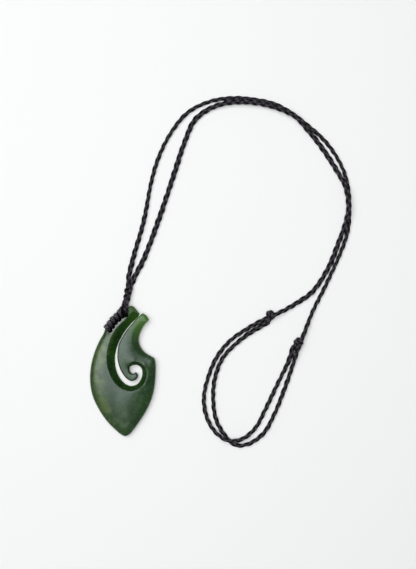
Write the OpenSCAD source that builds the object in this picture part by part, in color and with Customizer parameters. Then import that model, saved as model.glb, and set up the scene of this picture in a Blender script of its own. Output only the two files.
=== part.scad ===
// A carved greenstone fish-hook pendant, a hei matau, lying face up with its plaited black cord.
// X runs across the hook, Y along it towards the lashing, and Z up from the surface it lies on.
// The origin is under the middle of the hook.

/* [Hook] */
// Width of the hook across its widest part
hook_w = 28.2; // [26:0.1:34]
// Length of the hook from the tip of the shank to the foot
hook_l = 56; // [52:0.5:66]
// Thickness of the stone
hook_t = 5; // [4.6:0.1:7]
// Width of the rounded rim round the front
rim_w = 3.4; // [2:0.1:3.6]
// Drop of the rounded rim below the front face
rim_drop = 1.9; // [0.8:0.1:2.6]
// Width of the bevel that leads down to the slot
bevel_w = 2.8; // [1.6:0.1:3]
// Drop of the bevel below the front face
bevel_drop = 3.9; // [1.2:0.1:4.1]
// Width of the narrow stretch of the slot
slot_w = 0.5; // [0.3:0.05:0.8]
// Rounding of the edge at the back
back_round = 0.6; // [0.2:0.05:0.8]

/* [Lashing] */
// Width of the bar of stone that the thread is wound round
bar_w = 1.9; // [1.5:0.1:2.2]
// Width of the slit between the bar and the shank
slit_w = 1.65; // [1.5:0.05:1.9]
// Depth of the seat cut in the front of the bar
front_seat = 0.8; // [0.4:0.1:1.2]
// Thickness of the lashing thread
thread_d = 1.05; // [0.8:0.05:1.2]
// Gap between one turn of thread and the next
turn_gap = 0.1; // [0.06:0.01:0.2]
// Gap between the thread and the stone
thread_clear = 0.1; // [0.05:0.01:0.2]

/* [Cord] */
// Thickness of the plaited cord
cord_d = 2; // [1.8:0.05:2.05]
// Thickness of the thicker plait that rises from the lashing
neck_d = 2.8; // [2.4:0.1:3]
// Thickness of the two legs of that plait where they hold the bar
leg_d = 1.3; // [1:0.05:1.4]

/* [Knots] */
// Thickness of each knot across the cord that it slides on
knot_d = 4.3; // [4:0.1:4.6]
// Number of turns in each knot
knot_turns = 2; // [2:1:3]
// Gap between a knot and the cord that slides through it
knot_clear = 0.1; // [0.05:0.01:0.15]
// How far the bulk of a knot lies to one side of that cord
knot_offset = 0.6; // [0.4:0.05:0.7]

/* [Hidden] */

stone_colour = [0.17, 0.30, 0.17];
thread_colour = [0.10, 0.10, 0.11];
cord_colour = [0.08, 0.08, 0.09];
span_steps = 3;      // points to each span of the outline
rim_angles = [0, 30, 60, 90];
cord_sides = 8;
thread_sides = 6;
corner_steps = 4;    // points to each of the four round corners of a turn of the lashing
cut_over = 1;        // how far a cut runs past the stone

// The hook's edge, counterclockwise. A row is a place on the edge, x as a share of hook_w and y of
// hook_l, then the way from there to the crest where the face begins. One number is a share of the
// rim's or bevel's width, straight in from the edge, and two numbers are that way itself, x and y.
foot_to_barb = [
    [0.035, -0.500, 0, 1.13], [0.111, -0.481, -0.38, 0.93], [0.154, -0.456, -0.47, 0.85],
    [0.222, -0.410, 1.00], [0.325, -0.332, 0.95], [0.418, -0.240, 0.95], [0.473, -0.146, 0.90],
    [0.495, -0.050, 0.85], [0.500, 0.020, 0.75], [0.493, 0.075, -0.5, -0.08],
    [0.480, 0.098, -0.42, -0.42]];
barb_to_point = [
    [0.480, 0.098, -0.42, -0.42], [0.437, 0.112, -0.1, -0.6], [0.364, 0.133, 0.75],
    [0.294, 0.167, 0.85], [0.253, 0.208, 0.90], [0.244, 0.250, 0.90], [0.270, 0.300, 0.85],
    [0.331, 0.356, 0.65], [0.398, 0.396, -0.4, -0.22]];
point_end = [
    [0.398, 0.396, -0.4, -0.22], [0.355, 0.427, -0.18, -0.26], [0.299, 0.445, 0, -0.28]];
// The inner side of the slot, from its narrow stretch round the curled tip to the inner end
curl = [
    [-0.076, 0.161, 0.15], [-0.081, 0.115, 0.15], [-0.066, 0.061, 0.15], [-0.030, 0.009, 0.15],
    [0.017, -0.030, 0.15], [0.075, -0.061, 0.15], [0.137, -0.075, 0.15], [0.194, -0.066, 0.15],
    [0.227, -0.043, 0.15], [0.225, -0.023, 0.15], [0.194, -0.011, 0.15], [0.163, -0.020, 0.15],
    [0.124, -0.013, 0.18], [0.102, 0.010, 0.20], [0.113, 0.034, 0.30]];
// The outer side of the slot, from its inner end round the bend to the narrow stretch
bend = [
    [0.163, 0.047, 0.50], [0.227, 0.045, 0.50], [0.277, 0.026, 0.60], [0.296, -0.010, 0.70],
    [0.282, -0.056, 0.72], [0.224, -0.099, 0.70], [0.139, -0.116, 0.70], [0.047, -0.104, 0.75],
    [-0.030, -0.069, 0.85], [-0.093, -0.012, 0.95], [-0.122, 0.053, 1.10], [-0.123, 0.115, 1.15],
    [-0.105, 0.165, 1.20]];
shank_end = [
    [0.252, 0.441, -0.75, 0.25], [0.200, 0.473, -0.46, -0.13], [0.160, 0.494, -0.23, -0.40],
    [0.131, 0.500, -0.08, -0.46], [0.098, 0.494, 0.08, -0.40], [0.047, 0.481, 0.23, -0.45]];
outer_side = [
    [-0.285, 0.297, 0.70], [-0.352, 0.237, 1.00], [-0.434, 0.141, 1.10], [-0.486, 0.038, 1.10],
    [-0.500, -0.069, 1.10], [-0.462, -0.188, 1.05], [-0.358, -0.300, 1.00], [-0.227, -0.394, 1.00],
    [-0.108, -0.453, 0.97], [-0.026, -0.487, 0.22, 1.05]];
// The middle of the slot's narrow stretch, from the curl to the mouth, with the bevel's width there
slot_middle = [
    [-0.066, 0.208, 1.28], [0.015, 0.287, 1.25], [0.133, 0.364, 1.00], [0.252, 0.427, 1.00]];
slot_lip = 0.15;     // width of the edge along the slot's inner side, in bevel widths
// Ways to the crest at the slot's mouth, in bevel widths
point_mouth = [0, -0.34];
shank_mouth = [-0.91, 0.31];
shank_mouth_below = [-1.04, 0.41];
// Middle of the bar, as shares of hook_w and hook_l, from its lower end to its upper end
bar_middle = [[-0.241, 0.311], [-0.135, 0.387], [-0.011, 0.442]];
bar_rim = 0.5;       // width of the rim along the bar, in rim widths

// Routes of the two cords, from the fork to their far ends: x, y and the height of the middle
outer_route = [
    [2.4, 38.8, 1], [2.4, 40, 1], [4.2, 48, 1], [9, 65, 1], [12.2, 81.6, 1], [15.4, 92.2, 1],
    [20.6, 102.5, 1], [27.8, 111.2, 1], [37, 115.9, 1], [46.8, 117.5, 1], [56.8, 116.9, 1],
    [66, 114.7, 1], [73.6, 110.3, 1], [80, 105.4, 1], [86.2, 99.8, 1], [91.4, 93.1, 1],
    [95.3, 85.4, 1], [97.2, 77, 1], [97.6, 68.6, 1], [96.8, 60.2, 1], [93.9, 51.4, 1],
    [90.3, 43.2, 1], [86, 34.2, 1], [81.8, 25.9, 1.3], [77.7, 15.7, 2.4], [75.3, 9.5, 2.4],
    [72.4, 0.4, 1.1], [69, -9.2, 1], [65.2, -18.6, 1], [60.5, -26.9, 1], [54, -31.5, 1],
    [48.2, -31.9, 1], [43.9, -27.8, 1], [40.2, -21.4, 1], [38.8, -12, 1], [39.6, -3, 1],
    [43.3, 6, 1], [52.6, 14.9, 1], [61.8, 20.6, 1]];
inner_route = [
    [4.5, 38.8, 1], [4.5, 39.3, 1], [9, 48.4, 1], [15.3, 65, 1], [21.7, 84, 1], [26.1, 97.4, 1],
    [30.6, 107.6, 1], [36, 112.2, 1.2], [43.4, 115, 2.1], [52, 115.7, 2.6], [62, 114.3, 2.7],
    [73.8, 109.6, 3.1], [79.5, 103.6, 2.5], [84.9, 97.1, 1], [89.1, 91, 1], [92.7, 85, 1.9],
    [95.8, 78.8, 3], [97, 70, 3.1], [95.6, 63.2, 2.7], [92.9, 55.4, 1.1], [88.5, 44.5, 1],
    [81.5, 34, 1], [74.8, 29.2, 1], [69.8, 26.3, 1.6], [66.6, 24.8, 2.4], [60.8, 22.2, 2.4],
    [54.2, 18.6, 1.6], [46.5, 13.3, 1], [40.8, 6.6, 1], [36.9, -2, 1], [34.8, -12, 1],
    [36.3, -20.6, 1.2], [40.2, -26.7, 2.4], [45.6, -29.9, 3.2], [51.4, -29.2, 2.2], [57, -24.6, 1],
    [61.1, -17, 1], [66.6, -5.5, 1], [71.5, 4.6, 1], [73.4, 10, 1]];
// Each knot sits on the straight stretch after this point of the cord that slides through it
lower_knot_at = 24;
upper_knot_at = 24;

// Place along the pendant where the plait forks into the two cords
fork_y = outer_route[0][1];
// The plait from the fork down to the tip of the shank: x, then y as a share of the way up from that
// tip to the fork, the height, and half the width and half the thickness as shares of neck_d
neck_rows = [
    [3.45, 1, 1.1, 0.76, 0.37], [3.45, 0.96, 1.1, 0.74, 0.37], [3.1, 0.88, 1.2, 0.60, 0.40],
    [2.7, 0.75, 1.25, 0.43, 0.42], [2.35, 0.61, 1.5, 0.57, 0.50], [2.05, 0.48, 1.45, 0.47, 0.46],
    [1.75, 0.30, 1.7, 0.50, 0.50], [1.5, 0.11, 2.9, 0.44, 0.42]];
// The leg that goes over the front and down the slit: how far its middle lies past the end of the
// slit and above its highest place
front_leg = [[3.4, -0.6], [1.7, 0], [0.45, -0.1], [0, -1.1]];
// The leg beside the bar: x, then y as a share as above, and the height
side_leg = [[1.6, 0.20, 1.9], [0.9, 0.08, 2], [0.2, 0, 2.2]];
// From the start of the lashing to the end of that leg
side_leg_end = [0.55, 0.95];

// Small helpers for vectors and curves
function unit(v) = v / norm(v);
function left_of(v) = [-v[1], v[0]];
function right_of(v) = [v[1], -v[0]];
function flat(v) = [v[0], v[1]];
function last(list) = list[len(list) - 1];

// Slope of the curve at row i, between the slopes of the spans on each side of it
function slope(rows, i) =
    let (n = len(rows) - 1,
         a = max(0, i - 1), b = min(n, i + 1),
         before = norm(flat(rows[i]) - flat(rows[a])),
         after = norm(flat(rows[b]) - flat(rows[i])))
    i == 0 ? (rows[1] - rows[0]) / after :
    i == n ? (rows[n] - rows[n - 1]) / before :
    ((rows[i] - rows[a]) * after / before + (rows[b] - rows[i]) * before / after) / (before + after);

// Point at share t of the span after row i
function on_span(rows, i, t) =
    let (reach = norm(flat(rows[i + 1]) - flat(rows[i])),
         m0 = slope(rows, i) * reach, m1 = slope(rows, i + 1) * reach)
    rows[i] * (2 * t^3 - 3 * t^2 + 1) + m0 * (t^3 - 2 * t^2 + t)
    + rows[i + 1] * (3 * t^2 - 2 * t^3) + m1 * (t^3 - t^2);

// Smooth curve through the rows, without its last point, where the next curve starts
function smooth(rows) =
    [for (i = [0 : len(rows) - 2]) for (k = [0 : span_steps - 1]) on_span(rows, i, k / span_steps)];

// Rows of the outline in millimetres: place, then the way to the crest
function placed(rows) = [for (r = rows)
    [r[0] * hook_w, r[1] * hook_l, each [for (k = [2 : len(r) - 1]) r[k]]]];
function with_ways(rows, width) = [for (i = [0 : len(rows) - 1])
    let (r = rows[i], along = rows[min(i + 1, len(rows) - 1)] - rows[max(i - 1, 0)],
         way = len(r) == 4 ? [r[2], r[3]] : r[2] * left_of(unit(flat(along))))
    [r[0], r[1], way[0] * width, way[1] * width]];

// Where the bar runs, the line beside it at a given distance towards the shank, and its length
bar_line_middle = [for (b = bar_middle) [b[0] * hook_w, b[1] * hook_l]];
bar_dirs = [unit(bar_line_middle[1] - bar_line_middle[0]), unit(bar_line_middle[2] - bar_line_middle[1])];
bar_normals = [right_of(bar_dirs[0]), right_of(unit(bar_dirs[0] + bar_dirs[1])), right_of(bar_dirs[1])];
function beside_bar(distance) = [for (i = [0 : 2]) bar_line_middle[i] + distance * bar_normals[i]];
bar_edge = let (l = beside_bar(-bar_w / 2))
    [for (p = [l[2], (l[1] + l[2]) / 2, l[1], (l[0] + l[1]) / 2, l[0]]) [p[0], p[1], bar_rim]];

// Walls of the slot's narrow stretch, half its width to each side of its middle
function slot_wall(side, share) = [for (i = [0 : 3])
    let (m = placed(slot_middle), along = m[min(i + 1, 3)] - m[max(i - 1, 0)],
         p = flat(m[i]) + side * slot_w / 2 * left_of(unit(flat(along))))
    [p[0], p[1], share < 0 ? m[i][2] : share]];
slot_inner_wall = slot_wall(-1, slot_lip);
slot_outer_wall = slot_wall(1, -1);

mouth_of_point = [each flat(placed([last(point_end)])[0]), each point_mouth];
mouth_of_shank = [each flat(placed([shank_end[0]])[0]), each shank_mouth];
outer_wall_top = [each flat(slot_outer_wall[3]), each shank_mouth_below];

// The whole edge: place, way to the crest, roundness and drop
function run(rows, width, drop, roundness) = [for (p = smooth(with_ways(rows, width)))
    [p[0], p[1], p[2], p[3], roundness, drop * min(1, norm([p[2], p[3]]) / width)]];
edge = concat(
    run(placed(barb_to_point), rim_w, rim_drop, 1),
    run(placed(point_end), rim_w, rim_drop, 1),
    run(concat([mouth_of_point], [for (i = [3 : -1 : 0]) slot_inner_wall[i]], placed(curl), placed(bend),
        [for (i = [0 : 2]) slot_outer_wall[i]], [outer_wall_top, mouth_of_shank]), bevel_w, bevel_drop, 0),
    run(concat(placed(shank_end), bar_edge, placed(outer_side), placed(foot_to_barb)), rim_w, rim_drop, 1));

// A ring of the stone's surface: at the back, shares of the rounding's width and height, and at the
// front the angle that the rim has turned through
function back_ring(in, up) = [for (p = edge)
    let (way = [p[2], p[3]], reach = min(back_round, norm(way) / 2), q = flat(p) + in * reach * unit(way))
    [q[0], q[1], up * reach]];
function front_ring(a) = [for (p = edge)
    let (in = p[4] * (1 - cos(a)) + (1 - p[4]) * a / 90, up = p[4] * sin(a) + (1 - p[4]) * a / 90)
    [p[0] + in * p[2], p[1] + in * p[3], hook_t - p[5] * (1 - up)]];

// Triangles that fill a flat outline, cut off one corner at a time. An outline may curl round on
// itself, so a corner is cut only where it bulges and no other point lies in the triangle. If no
// corner can be cut, what is left stays one face.
function turn(a, b, c) = (b[0] - a[0]) * (c[1] - a[1]) - (b[1] - a[1]) * (c[0] - a[0]);
function corner(left, k) = let (n = len(left)) [left[(k + n - 1) % n], left[k], left[(k + 1) % n]];
function can_cut(points, left, t) =
    let (a = points[t[0]], b = points[t[1]], c = points[t[2]])
    turn(a, b, c) > 0 && len([for (i = left)
        if (turn(a, b, points[i]) >= 0 && turn(b, c, points[i]) >= 0 && turn(c, a, points[i]) >= 0) i]) == 3;
function fill(points, left, k = 0, done = [], missed = 0) =
    let (n = len(left), at = k % n, t = corner(left, at))
    n == 3 || missed == n ? concat(done, [left]) :
    can_cut(points, left, t) ?
        fill(points, [for (i = [0 : n - 1]) if (i != at) left[i]], at + 1, concat(done, [t])) :
        fill(points, left, at + 1, done, missed + 1);

// A closed skin over rings with the same number of points, lowest ring first. The ends of a tube are
// one face each, and the flat faces of a curled outline are filled with triangles.
module skin(rings, curled = false) {
    n = len(rings[0]);
    top = (len(rings) - 1) * n;
    order = [for (i = [0 : n - 1]) i];
    polyhedron(
        points = [for (r = rings) each r],
        faces = concat(
            curled ? fill(rings[0], order) : [order],
            [for (k = [0 : len(rings) - 2]) for (i = [0 : n - 1])
                let (j = (i + 1) % n) [k * n + i, (k + 1) * n + i, (k + 1) * n + j, k * n + j]],
            [for (f = curled ? fill(last(rings), order) : [order])
                [for (i = [len(f) - 1 : -1 : 0]) top + f[i]]]),
        convexity = 12);
}

// A cut of one width along a line of points, with round ends where wanted
module groove(line, width, from, to, round_ends = true, past_start = 0, past_end = 0) {
    for (i = [0 : len(line) - 2]) {
        along = line[i + 1] - line[i];
        back = i == 0 ? past_start : 0;
        ahead = i == len(line) - 2 ? past_end : 0;
        translate([line[i][0], line[i][1], from]) rotate([0, 0, atan2(along[1], along[0])])
            translate([-back, -width / 2, 0]) cube([norm(along) + back + ahead, width, to - from]);
    }
    for (i = round_ends ? [0 : len(line) - 1] : [1 : len(line) - 2])
        translate([line[i][0], line[i][1], from]) cylinder(h = to - from, d = width, $fn = 32);
}

back_seat = thread_d + thread_clear;
bar_top = hook_t - front_seat;
// The thread's middle turns each corner of the bar at this distance from it
turn_r = thread_clear + thread_d / 2;
turn_half_w = bar_w / 2 + turn_r;
bar_half_h = (bar_top - back_seat) / 2;
bar_mid_z = (bar_top + back_seat) / 2;
turn_pitch = thread_d + turn_gap;
bar_length = norm(bar_line_middle[1] - bar_line_middle[0]) + norm(bar_line_middle[2] - bar_line_middle[1]);
turns = floor(bar_length / turn_pitch) + 1;
// The slit runs on past the last turn to let one leg of the plait through
leg_past = thread_d / 2 + leg_d / 2 + thread_clear - turn_pitch / 2;
slit_line = let (l = beside_bar(bar_w / 2 + slit_w / 2)) [l[0], l[1], l[2] + leg_past * bar_dirs[1]];
leg_foot = last(slit_line);
seat_in = bar_w / 2 + slit_w / 2;
seat_out = bar_w / 2 + rim_w;

module hook() color(stone_colour) difference() {
    skin(concat(
        [back_ring(1, 0), back_ring(0.3, 0.3), back_ring(0, 1)],
        [for (a = rim_angles) front_ring(a)]), curled = true);
    groove(slit_line, slit_w, -cut_over, hook_t + cut_over);
    seat(-cut_over, back_seat);
    seat(bar_top, hook_t + cut_over);
}

// The stone is cut away over the bar and beyond its edge, as far as the turns of thread go
module seat(from, to)
    groove(beside_bar((seat_in - seat_out) / 2), seat_in + seat_out, from, to, false,
        thread_d / 2 + thread_clear, thread_d / 2 + thread_clear);

// Unit vectors across a tube: level ones, or ones as near as can be to a fixed direction
function tangent(points, i) = unit(
    (i == 0 ? [0, 0, 0] : unit(points[i] - points[i - 1]))
    + (i == len(points) - 1 ? [0, 0, 0] : unit(points[i + 1] - points[i])));
function level_sides(points) = [for (i = [0 : len(points) - 1]) unit(cross(tangent(points, i), [0, 0, 1]))];
function near_sides(points, wanted) = [for (i = [0 : len(points) - 1])
    let (t = tangent(points, i)) unit(wanted[i] - (wanted[i] * t) * t)];

// A tube through the points, with a half width and half height at each and a flat underside
module tube(points, halves, across, sides) {
    rings = [for (i = [0 : len(points) - 1])
        let (t = tangent(points, i), up = cross(across[i], t))
        [for (k = [sides - 1 : -1 : 0]) let (a = 360 * (k + 0.5) / sides)
            points[i] + halves[i][0] * cos(a) * across[i] + halves[i][1] * sin(a) * up]];
    skin(rings);
}

module cord(route) color(cord_colour)
    tube(route, [for (p = route) [cord_d / 2, cord_d / 2]], level_sides(route), cord_sides);

module cord_outer() cord(outer_route);
module cord_inner() cord(inner_route);

// Place on the middle of the bar at a distance from its lower end
function on_bar(s) =
    let (first = norm(bar_line_middle[1] - bar_line_middle[0]))
    s < first ? bar_line_middle[0] + s * bar_dirs[0] : bar_line_middle[1] + (s - first) * bar_dirs[1];
function bar_dir(s) =
    let (share = min(1, max(0, s / bar_length)))
    unit((1 - share) * bar_dirs[0] + share * bar_dirs[1]);

// A corner of the lashing, counted from its start: its place across the bar and up, and the distance
// along the bar, where it moves on by half a turn over the front and again over the back
function corner_across(c) = [-1, -1, 1, 1][c % 4] * bar_w / 2;
function corner_up(c) = [-1, 1, 1, -1][c % 4] * bar_half_h;
function corner_along(c) = bar_length - floor(c / 2) * turn_pitch / 2;

// The lashing starts outside the upper end of the bar and winds over the front, towards the lower end
module binding() color(thread_colour) {
    steps = [corner_steps - 1 : (4 * turns - 1) * corner_steps];
    points = [for (k = steps)
        let (c = floor(k / corner_steps), a = 90 * (c - 1 + (k % corner_steps) / (corner_steps - 1)),
             s = corner_along(c), m = on_bar(s), n = right_of(bar_dir(s)),
             w = corner_across(c) - turn_r * cos(a))
        [m[0] + w * n[0], m[1] + w * n[1], bar_mid_z + corner_up(c) + turn_r * sin(a)]];
    across = near_sides(points, [for (k = steps)
        let (d = bar_dir(corner_along(floor(k / corner_steps)))) [d[0], d[1], 0]]);
    tube(points, [for (p = points) [thread_d / 2, thread_d / 2]], across, thread_sides);
}

// The thick plait: its flared top meets both cords, one leg goes over the end of the bar and down the
// slit, and the other lies outside the bar against the first turn of the lashing
function neck_y(share) = hook_l / 2 + share * (fork_y - hook_l / 2);
module neck_plait() color(cord_colour) union() {
    leg_r = leg_d / 2;
    over = hook_t + leg_r + thread_clear;
    front = concat(
        [for (r = neck_rows) [r[0], neck_y(r[1]), r[2]]],
        [for (r = front_leg) [leg_foot[0], leg_foot[1] + r[0], over + r[1]]],
        [[leg_foot[0], leg_foot[1], hook_t / 2]]);
    halves = concat(
        [for (r = neck_rows) [r[3] * neck_d, r[4] * neck_d]],
        [for (r = front_leg) [leg_r, leg_r]], [[leg_r, leg_r]]);
    tube(front, halves, near_sides(front, [for (p = front) [-1, 0, 0]]), cord_sides);
    start = on_bar(bar_length) - (turn_half_w + thread_clear) * bar_normals[2];
    side = concat(
        [for (r = side_leg) [r[0], neck_y(r[1]), r[2]]],
        [[start[0] + side_leg_end[0], start[1] + side_leg_end[1], bar_mid_z]]);
    tube(side, [for (p = side) [leg_r, leg_r]], level_sides(side), cord_sides);
}

// A knot of turns round the cord that slides through it, with the end of the other cord leading in.
// The bulk lies to one side, on the left of the sliding cord where side is 1.
module knot(route, at, end_route, side) color(cord_colour) {
    along = route[at + 1] - route[at];
    ring_r = cord_d / 2;
    length = cord_d * knot_turns;
    difference() {
        union() {
            translate((route[at] + route[at + 1]) / 2) rotate([0, 0, atan2(along[1], along[0])])
                rotate([0, 90, 0]) translate([0, side * knot_offset, 0]) {
                for (k = [0 : knot_turns - 1])
                    translate([0, 0, cord_d * (k - (knot_turns - 1) / 2)])
                        rotate_extrude($fn = 32) translate([knot_d / 2 - ring_r, 0]) circle(r = ring_r, $fn = 24);
                cylinder(h = length - ring_r, r = knot_d / 2 - ring_r, center = true, $fn = 32);
            }
            lead_in(end_route);
        }
        translate((route[at] + route[at + 1]) / 2) rotate([0, 0, atan2(along[1], along[0])])
            rotate([0, 90, 0])
                cylinder(h = length + 2 * cord_d, d = cord_d + 2 * knot_clear, center = true, $fn = 32);
    }
}

// A short straight end of cord, which starts where the route stops
module lead_in(route) {
    end = last(route);
    along = end - route[len(route) - 2];
    translate(end) rotate([0, 0, atan2(along[1], along[0])]) rotate([0, 90, 0])
        cylinder(h = knot_d / 2, d = cord_d, $fn = 32);
}

module knot_upper() knot(inner_route, upper_knot_at, outer_route, -1);
module knot_lower() knot(outer_route, lower_knot_at, inner_route, -1);

hook();
binding();
neck_plait();
cord_outer();
cord_inner();
knot_upper();
knot_lower();
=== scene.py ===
"""A carved greenstone fish-hook pendant lying on a pale table with its plaited black cord.

X runs across the hook, Y along it towards the lashing, and Z up. Everything is in metres.
"""
import math

import bmesh
import bpy
import numpy as np
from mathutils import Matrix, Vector
from mathutils.geometry import delaunay_2d_cdt


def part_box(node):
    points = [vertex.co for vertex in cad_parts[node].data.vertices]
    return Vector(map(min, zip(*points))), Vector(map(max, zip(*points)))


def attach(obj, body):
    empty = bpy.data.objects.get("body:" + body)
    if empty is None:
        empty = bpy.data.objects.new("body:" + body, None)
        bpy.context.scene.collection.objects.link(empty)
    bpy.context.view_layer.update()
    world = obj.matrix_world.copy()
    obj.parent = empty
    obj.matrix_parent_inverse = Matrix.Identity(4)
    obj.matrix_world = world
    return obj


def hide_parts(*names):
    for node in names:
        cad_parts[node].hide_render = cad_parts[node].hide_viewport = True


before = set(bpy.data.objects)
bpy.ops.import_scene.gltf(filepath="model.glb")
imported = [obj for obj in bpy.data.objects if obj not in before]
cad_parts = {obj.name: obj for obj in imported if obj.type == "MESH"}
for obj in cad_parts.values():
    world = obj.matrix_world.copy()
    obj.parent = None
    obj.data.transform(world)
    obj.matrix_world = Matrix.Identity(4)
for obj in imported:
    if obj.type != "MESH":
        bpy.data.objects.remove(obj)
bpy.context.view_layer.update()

MM = 0.001
UP = np.array([0.0, 0.0, 1.0])

# The stone's size comes from the frame, and these are the sizes within it
hook_low, hook_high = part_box("hook")
HOOK_W = hook_high.x - hook_low.x
HOOK_L = hook_high.y - hook_low.y
HOOK_T = hook_high.z
RIM_W = 3.4 * MM
RIM_DROP = 1.9 * MM
BEVEL_W = 2.8 * MM
BEVEL_DROP = 3.9 * MM
SLOT_W = 0.5 * MM
BACK_ROUND = 0.6 * MM
BAR_W = 1.9 * MM
SLIT_W = 1.65 * MM
FRONT_SEAT = 0.8 * MM

# The thread, the cords and the knots
THREAD_D = 1.05 * MM
TURN_GAP = 0.1 * MM
THREAD_CLEAR = 0.1 * MM
CORD_D = 2 * MM
KNOT_D = 4.3 * MM
KNOT_TURNS = 2
KNOT_PITCH = 1.3 * MM

# The hook's edge, counterclockwise. A row is a place on the edge, x as a share of the width and y of
# the length, then the way from there to the crest where the face begins. One number is a share of
# the rim's or bevel's width, straight in from the edge, and two are that way itself, x and y.
FOOT_TO_BARB = [
    (0.035, -0.500, 0, 1.13), (0.111, -0.481, -0.38, 0.93), (0.154, -0.456, -0.47, 0.85),
    (0.222, -0.410, 1.00), (0.325, -0.332, 0.95), (0.418, -0.240, 0.95), (0.473, -0.146, 0.90),
    (0.495, -0.050, 0.85), (0.500, 0.020, 0.75), (0.493, 0.075, -0.5, -0.08),
    (0.480, 0.098, -0.42, -0.42)]
BARB_TO_POINT = [
    (0.480, 0.098, -0.42, -0.42), (0.437, 0.112, -0.1, -0.6), (0.364, 0.133, 0.75),
    (0.294, 0.167, 0.85), (0.253, 0.208, 0.90), (0.244, 0.250, 0.90), (0.270, 0.300, 0.85),
    (0.331, 0.356, 0.65), (0.398, 0.396, -0.4, -0.22)]
POINT_END = [
    (0.398, 0.396, -0.4, -0.22), (0.355, 0.427, -0.18, -0.26), (0.299, 0.445, 0, -0.28)]
CURL = [
    (-0.076, 0.161, 0.15), (-0.081, 0.115, 0.15), (-0.066, 0.061, 0.15), (-0.030, 0.009, 0.15),
    (0.017, -0.030, 0.15), (0.075, -0.061, 0.15), (0.137, -0.075, 0.15), (0.194, -0.066, 0.15),
    (0.227, -0.043, 0.15), (0.225, -0.023, 0.15), (0.194, -0.011, 0.15), (0.163, -0.020, 0.15),
    (0.124, -0.013, 0.18), (0.102, 0.010, 0.20), (0.113, 0.034, 0.30)]
BEND = [
    (0.163, 0.047, 0.50), (0.227, 0.045, 0.50), (0.277, 0.026, 0.60), (0.296, -0.010, 0.70),
    (0.282, -0.056, 0.72), (0.224, -0.099, 0.70), (0.139, -0.116, 0.70), (0.047, -0.104, 0.75),
    (-0.030, -0.069, 0.85), (-0.093, -0.012, 0.95), (-0.122, 0.053, 1.10), (-0.123, 0.115, 1.15),
    (-0.105, 0.165, 1.20)]
SHANK_END = [
    (0.252, 0.441, -0.75, 0.25), (0.200, 0.473, -0.46, -0.13), (0.160, 0.494, -0.23, -0.40),
    (0.131, 0.500, -0.08, -0.46), (0.098, 0.494, 0.08, -0.40), (0.047, 0.481, 0.23, -0.45)]
OUTER_SIDE = [
    (-0.285, 0.297, 0.70), (-0.352, 0.237, 1.00), (-0.434, 0.141, 1.10), (-0.486, 0.038, 1.10),
    (-0.500, -0.069, 1.10), (-0.462, -0.188, 1.05), (-0.358, -0.300, 1.00), (-0.227, -0.394, 1.00),
    (-0.108, -0.453, 0.97), (-0.026, -0.487, 0.22, 1.05)]

# The slot's narrow stretch by its middle, with the share at its outer wall, and the share at its
# inner wall. At its mouth the way to the crest is given for the point, the shank and just below it.
SLOT_MIDDLE = [(-0.066, 0.208, 1.28), (0.015, 0.287, 1.25), (0.133, 0.364, 1.00), (0.252, 0.427, 1.00)]
SLOT_LIP = 0.15
POINT_MOUTH = (0, -0.34)
SHANK_MOUTH = (-0.91, 0.31)
SHANK_MOUTH_BELOW = (-1.04, 0.41)

# The middle of the bar that is lashed, and the share of the rim's width along its outer side
BAR_MIDDLE = [(-0.241, 0.311), (-0.135, 0.387), (-0.011, 0.442)]
BAR_RIM = 0.5

# Steps from row to row along the edge, from the edge to the crest, and of a bevel's soft crest
SPAN_STEPS = 8
RIM_STEPS = 9
SOFT_STEPS = 3
RIM_TURN = math.radians(68.5)
CREST_SOFT = 0.07

# The face falls by its crown towards a rounded rim or the lip of a bevel this narrow
CROWN = 0.68 * MM
CROWN_REACH = 9 * MM
LIP_SHARE = 0.25
FACE_STEP = 0.7 * MM
FACE_EASING = 12
SHARP_ANGLE = math.radians(32)

# The paler stone is a band along a circle that follows the hook's left side
RIND_CENTRE = (20 * MM, -2 * MM)
RIND_RADIUS = 31.6 * MM
RIND_HALF_W = 3.2 * MM
RIND_WANDER = 1.6 * MM
RIND_TOP_FADES = (19 * MM, 9 * MM)
RIND_FOOT_FADES = (-25 * MM, -15 * MM)

# Near its two upper ends the stone's colour is painted greener and lighter, a glow of light shining
# through it, and they are polished less
POINT_TIP = (9 * MM, 22 * MM)
POINT_REACH = 11 * MM
SHANK_TIP = (3.5 * MM, 27 * MM)
SHANK_REACH = 5 * MM

# Pale streaks low in the middle
FOOT_STREAKS = (-1 * MM, -19 * MM)
FOOT_REACH = 10 * MM

# The stone's colours, the last two a painted glow of light through the stone where it is thin:
# everywhere, and near the point
STONE_DARK = (0.006, 0.030, 0.005, 1)
STONE_LIGHT = (0.019, 0.060, 0.013, 1)
STONE_FLECK = (0.060, 0.115, 0.045, 1)
STONE_STREAK = (0.070, 0.105, 0.060, 1)
STONE_POINT_GLOW = (0.070, 0.172, 0.022, 1)
STONE_SHANK_GLOW = (0.022, 0.066, 0.008, 1)
STONE_RIND = (0.108, 0.157, 0.043, 1)
STONE_THIN_GLOW = (0.022, 0.083, 0.005, 1)
STONE_THIN_POINT_GLOW = (0.058, 0.165, 0.014, 1)

# Of a strand: its threads, how far along they turn round it once, its darkest and its lightest colour
CORD_FIBRES = (5, 1.6 * MM, (0.0018, 0.0016, 0.0021), (0.118, 0.109, 0.126))
LASHING_FIBRES = (4, 1.2 * MM, (0.0005, 0.0005, 0.0006), (0.160, 0.150, 0.168))

TABLE_HALF = 10.0
TABLE_COLOUR = (0.885, 0.885, 0.885, 1)

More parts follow.
